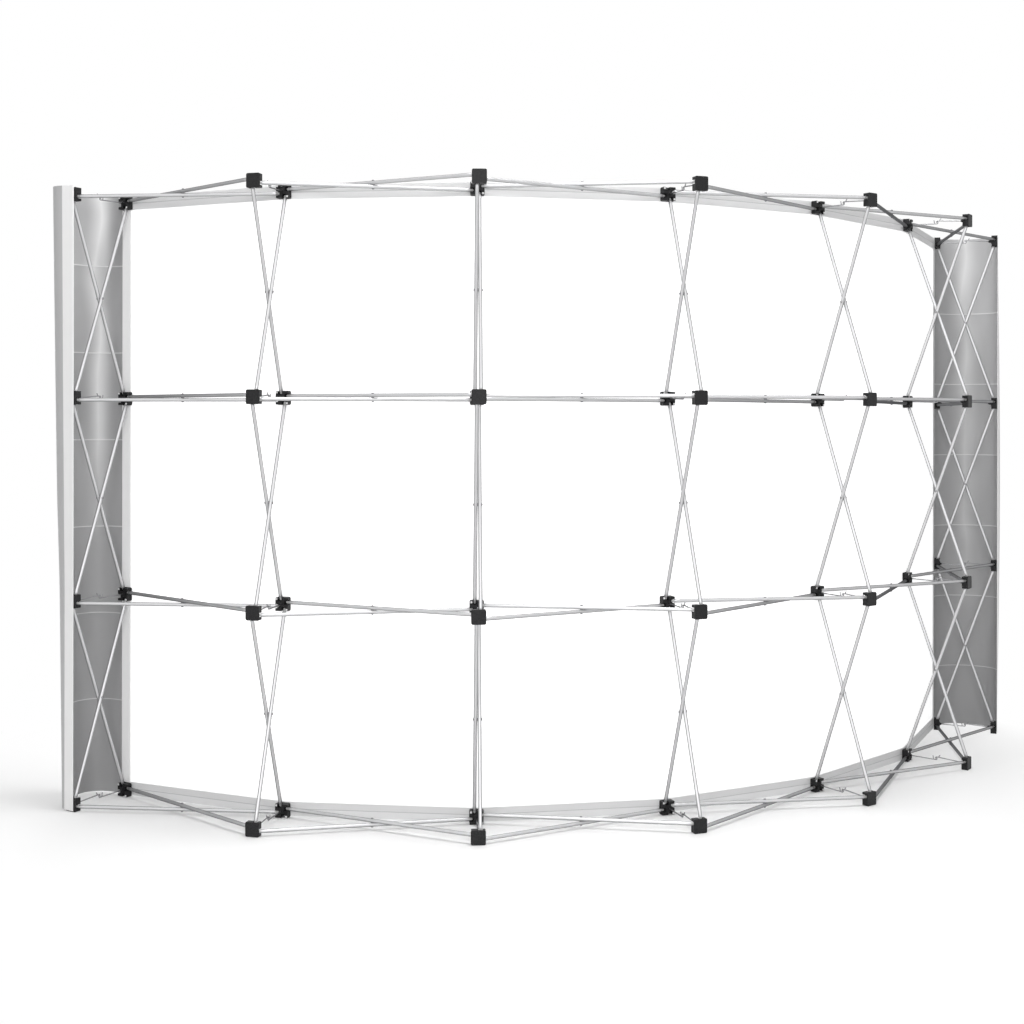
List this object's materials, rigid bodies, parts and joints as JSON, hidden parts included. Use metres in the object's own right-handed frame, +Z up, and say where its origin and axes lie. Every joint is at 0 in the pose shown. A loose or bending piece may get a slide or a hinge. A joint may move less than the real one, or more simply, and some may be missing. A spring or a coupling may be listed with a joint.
{
  "type": "pop up display backwall",
  "caption": "Curved free-standing exhibition backwall: folding lattice of aluminium tubes and black hubs with lock arms, white stretched front graphic and bent end panels.",
  "frame": {"origin": "centre of the bounding box on the floor", "axes": "+Z up, X along the wall's width, the audience and the hollow of the curve on -Y, the open frame on +Y"},
  "size_m": [4.1141, 1.2398, 2.234],
  "materials": {
    "tube": "bright satin anodised tube, with black plastic hubs",
    "lock": "bright rod",
    "textile": "matt stretched polyester, hemmed",
    "panel": "satin silver grey laminate with pale strips along its upright edges"
  },
  "bodies": {
    "frame": {"bottom_row_left": "tube", "bottom_row_right": "tube", "lower_row_left": "tube", "lower_row_right": "tube", "upper_row_left": "tube", "upper_row_right": "tube", "top_row_left": "tube", "top_row_right": "tube", "upright_cross_1_bottom": "tube", "upright_cross_2_bottom": "tube", "upright_cross_3_bottom": "tube", "upright_cross_4_bottom": "tube", "upright_cross_5_bottom": "tube", "upright_cross_6_bottom": "tube", "upright_cross_7_bottom": "tube", "upright_cross_1_middle": "tube", "upright_cross_2_middle": "tube", "upright_cross_3_middle": "tube", "upright_cross_4_middle": "tube", "upright_cross_5_middle": "tube", "upright_cross_6_middle": "tube", "upright_cross_7_middle": "tube", "upright_cross_1_top": "tube", "upright_cross_2_top": "tube", "upright_cross_3_top": "tube", "upright_cross_4_top": "tube", "upright_cross_5_top": "tube", "upright_cross_6_top": "tube", "upright_cross_7_top": "tube"},
    "lock_arm_1_bottom": {"lock_arm_1_bottom": "lock"},
    "lock_arm_2_bottom": {"lock_arm_2_bottom": "lock"},
    "lock_arm_3_bottom": {"lock_arm_3_bottom": "lock"},
    "lock_arm_4_bottom": {"lock_arm_4_bottom": "lock"},
    "lock_arm_5_bottom": {"lock_arm_5_bottom": "lock"},
    "lock_arm_6_bottom": {"lock_arm_6_bottom": "lock"},
    "lock_arm_7_bottom": {"lock_arm_7_bottom": "lock"},
    "lock_arm_1_lower": {"lock_arm_1_lower": "lock"},
    "lock_arm_2_lower": {"lock_arm_2_lower": "lock"},
    "lock_arm_3_lower": {"lock_arm_3_lower": "lock"},
    "lock_arm_4_lower": {"lock_arm_4_lower": "lock"},
    "lock_arm_5_lower": {"lock_arm_5_lower": "lock"},
    "lock_arm_6_lower": {"lock_arm_6_lower": "lock"},
    "lock_arm_7_lower": {"lock_arm_7_lower": "lock"},
    "lock_arm_1_upper": {"lock_arm_1_upper": "lock"},
    "lock_arm_2_upper": {"lock_arm_2_upper": "lock"},
    "lock_arm_3_upper": {"lock_arm_3_upper": "lock"},
    "lock_arm_4_upper": {"lock_arm_4_upper": "lock"},
    "lock_arm_5_upper": {"lock_arm_5_upper": "lock"},
    "lock_arm_6_upper": {"lock_arm_6_upper": "lock"},
    "lock_arm_7_upper": {"lock_arm_7_upper": "lock"},
    "lock_arm_1_top": {"lock_arm_1_top": "lock"},
    "lock_arm_2_top": {"lock_arm_2_top": "lock"},
    "lock_arm_3_top": {"lock_arm_3_top": "lock"},
    "lock_arm_4_top": {"lock_arm_4_top": "lock"},
    "lock_arm_5_top": {"lock_arm_5_top": "lock"},
    "lock_arm_6_top": {"lock_arm_6_top": "lock"},
    "lock_arm_7_top": {"lock_arm_7_top": "lock"},
    "front_graphic": {"front_graphic": "textile"},
    "end_panel_left": {"end_panel_left": "panel"},
    "end_panel_right": {"end_panel_right": "panel"}
  },
  "joints": [
    {"name": "lock_1_bottom_lift", "type": "hinge", "parent": "frame", "child": "lock_arm_1_bottom", "pos_m": [-1.97148, -0.38437, 0.025], "axis": [-0.6088, -0.7934, 0], "range_deg": [0, 60]},
    {"name": "lock_2_bottom_lift", "type": "hinge", "parent": "frame", "child": "lock_arm_2_bottom", "pos_m": [-1.42534, 0.13845, 0.025], "axis": [-0.8192, -0.5736, 0], "range_deg": [0, 60]},
    {"name": "lock_3_bottom_lift", "type": "hinge", "parent": "frame", "child": "lock_arm_3_bottom", "pos_m": [-0.74725, 0.47285, 0.025], "axis": [-0.9537, -0.3007, 0], "range_deg": [0, 60]},
    {"name": "lock_4_bottom_lift", "type": "hinge", "parent": "frame", "child": "lock_arm_4_bottom", "pos_m": [0, 0.58786, 0.025], "axis": [-1, 0, 0], "range_deg": [0, 60]},
    {"name": "lock_5_bottom_lift", "type": "hinge", "parent": "frame", "child": "lock_arm_5_bottom", "pos_m": [0.74725, 0.47285, 0.025], "axis": [-0.9537, 0.3007, 0], "range_deg": [0, 60]},
    {"name": "lock_6_bottom_lift", "type": "hinge", "parent": "frame", "child": "lock_arm_6_bottom", "pos_m": [1.42534, 0.13845, 0.025], "axis": [-0.8192, 0.5736, 0], "range_deg": [0, 60]},
    {"name": "lock_7_bottom_lift", "type": "hinge", "parent": "frame", "child": "lock_arm_7_bottom", "pos_m": [1.97148, -0.38437, 0.025], "axis": [-0.6088, 0.7934, 0], "range_deg": [0, 60]},
    {"name": "lock_1_lower_lift", "type": "hinge", "parent": "frame", "child": "lock_arm_1_lower", "pos_m": [-1.97148, -0.38437, 0.751], "axis": [-0.6088, -0.7934, 0], "range_deg": [0, 60]},
    {"name": "lock_2_lower_lift", "type": "hinge", "parent": "frame", "child": "lock_arm_2_lower", "pos_m": [-1.42534, 0.13845, 0.751], "axis": [-0.8192, -0.5736, 0], "range_deg": [0, 60]},
    {"name": "lock_3_lower_lift", "type": "hinge", "parent": "frame", "child": "lock_arm_3_lower", "pos_m": [-0.74725, 0.47285, 0.751], "axis": [-0.9537, -0.3007, 0], "range_deg": [0, 60]},
    {"name": "lock_4_lower_lift", "type": "hinge", "parent": "frame", "child": "lock_arm_4_lower", "pos_m": [0, 0.58786, 0.751], "axis": [-1, 0, 0], "range_deg": [0, 60]},
    {"name": "lock_5_lower_lift", "type": "hinge", "parent": "frame", "child": "lock_arm_5_lower", "pos_m": [0.74725, 0.47285, 0.751], "axis": [-0.9537, 0.3007, 0], "range_deg": [0, 60]},
    {"name": "lock_6_lower_lift", "type": "hinge", "parent": "frame", "child": "lock_arm_6_lower", "pos_m": [1.42534, 0.13845, 0.751], "axis": [-0.8192, 0.5736, 0], "range_deg": [0, 60]},
    {"name": "lock_7_lower_lift", "type": "hinge", "parent": "frame", "child": "lock_arm_7_lower", "pos_m": [1.97148, -0.38437, 0.751], "axis": [-0.6088, 0.7934, 0], "range_deg": [0, 60]},
    {"name": "lock_1_upper_lift", "type": "hinge", "parent": "frame", "child": "lock_arm_1_upper", "pos_m": [-1.97148, -0.38437, 1.477], "axis": [-0.6088, -0.7934, 0], "range_deg": [0, 60]},
    {"name": "lock_2_upper_lift", "type": "hinge", "parent": "frame", "child": "lock_arm_2_upper", "pos_m": [-1.42534, 0.13845, 1.477], "axis": [-0.8192, -0.5736, 0], "range_deg": [0, 60]},
    {"name": "lock_3_upper_lift", "type": "hinge", "parent": "frame", "child": "lock_arm_3_upper", "pos_m": [-0.74725, 0.47285, 1.477], "axis": [-0.9537, -0.3007, 0], "range_deg": [0, 60]},
    {"name": "lock_4_upper_lift", "type": "hinge", "parent": "frame", "child": "lock_arm_4_upper", "pos_m": [0, 0.58786, 1.477], "axis": [-1, 0, 0], "range_deg": [0, 60]},
    {"name": "lock_5_upper_lift", "type": "hinge", "parent": "frame", "child": "lock_arm_5_upper", "pos_m": [0.74725, 0.47285, 1.477], "axis": [-0.9537, 0.3007, 0], "range_deg": [0, 60]},
    {"name": "lock_6_upper_lift", "type": "hinge", "parent": "frame", "child": "lock_arm_6_upper", "pos_m": [1.42534, 0.13845, 1.477], "axis": [-0.8192, 0.5736, 0], "range_deg": [0, 60]},
    {"name": "lock_7_upper_lift", "type": "hinge", "parent": "frame", "child": "lock_arm_7_upper", "pos_m": [1.97148, -0.38437, 1.477], "axis": [-0.6088, 0.7934, 0], "range_deg": [0, 60]},
    {"name": "lock_1_top_lift", "type": "hinge", "parent": "frame", "child": "lock_arm_1_top", "pos_m": [-1.97148, -0.38437, 2.203], "axis": [-0.6088, -0.7934, 0], "range_deg": [0, 60]},
    {"name": "lock_2_top_lift", "type": "hinge", "parent": "frame", "child": "lock_arm_2_top", "pos_m": [-1.42534, 0.13845, 2.203], "axis": [-0.8192, -0.5736, 0], "range_deg": [0, 60]},
    {"name": "lock_3_top_lift", "type": "hinge", "parent": "frame", "child": "lock_arm_3_top", "pos_m": [-0.74725, 0.47285, 2.203], "axis": [-0.9537, -0.3007, 0], "range_deg": [0, 60]},
    {"name": "lock_4_top_lift", "type": "hinge", "parent": "frame", "child": "lock_arm_4_top", "pos_m": [0, 0.58786, 2.203], "axis": [-1, 0, 0], "range_deg": [0, 60]},
    {"name": "lock_5_top_lift", "type": "hinge", "parent": "frame", "child": "lock_arm_5_top", "pos_m": [0.74725, 0.47285, 2.203], "axis": [-0.9537, 0.3007, 0], "range_deg": [0, 60]},
    {"name": "lock_6_top_lift", "type": "hinge", "parent": "frame", "child": "lock_arm_6_top", "pos_m": [1.42534, 0.13845, 2.203], "axis": [-0.8192, 0.5736, 0], "range_deg": [0, 60]},
    {"name": "lock_7_top_lift", "type": "hinge", "parent": "frame", "child": "lock_arm_7_top", "pos_m": [1.97148, -0.38437, 2.203], "axis": [-0.6088, 0.7934, 0], "range_deg": [0, 60]},
    {"name": "front_graphic_off", "type": "slide", "parent": "frame", "child": "front_graphic", "axis": [0, -1, 0], "range_m": [0, 0.25]},
    {"name": "end_panel_left_off", "type": "slide", "parent": "frame", "child": "end_panel_left", "axis": [-0.6088, -0.7934, 0], "range_m": [0, 0.25]},
    {"name": "end_panel_right_off", "type": "slide", "parent": "frame", "child": "end_panel_right", "axis": [0.6088, -0.7934, 0], "range_m": [0, 0.25]}
  ]
}
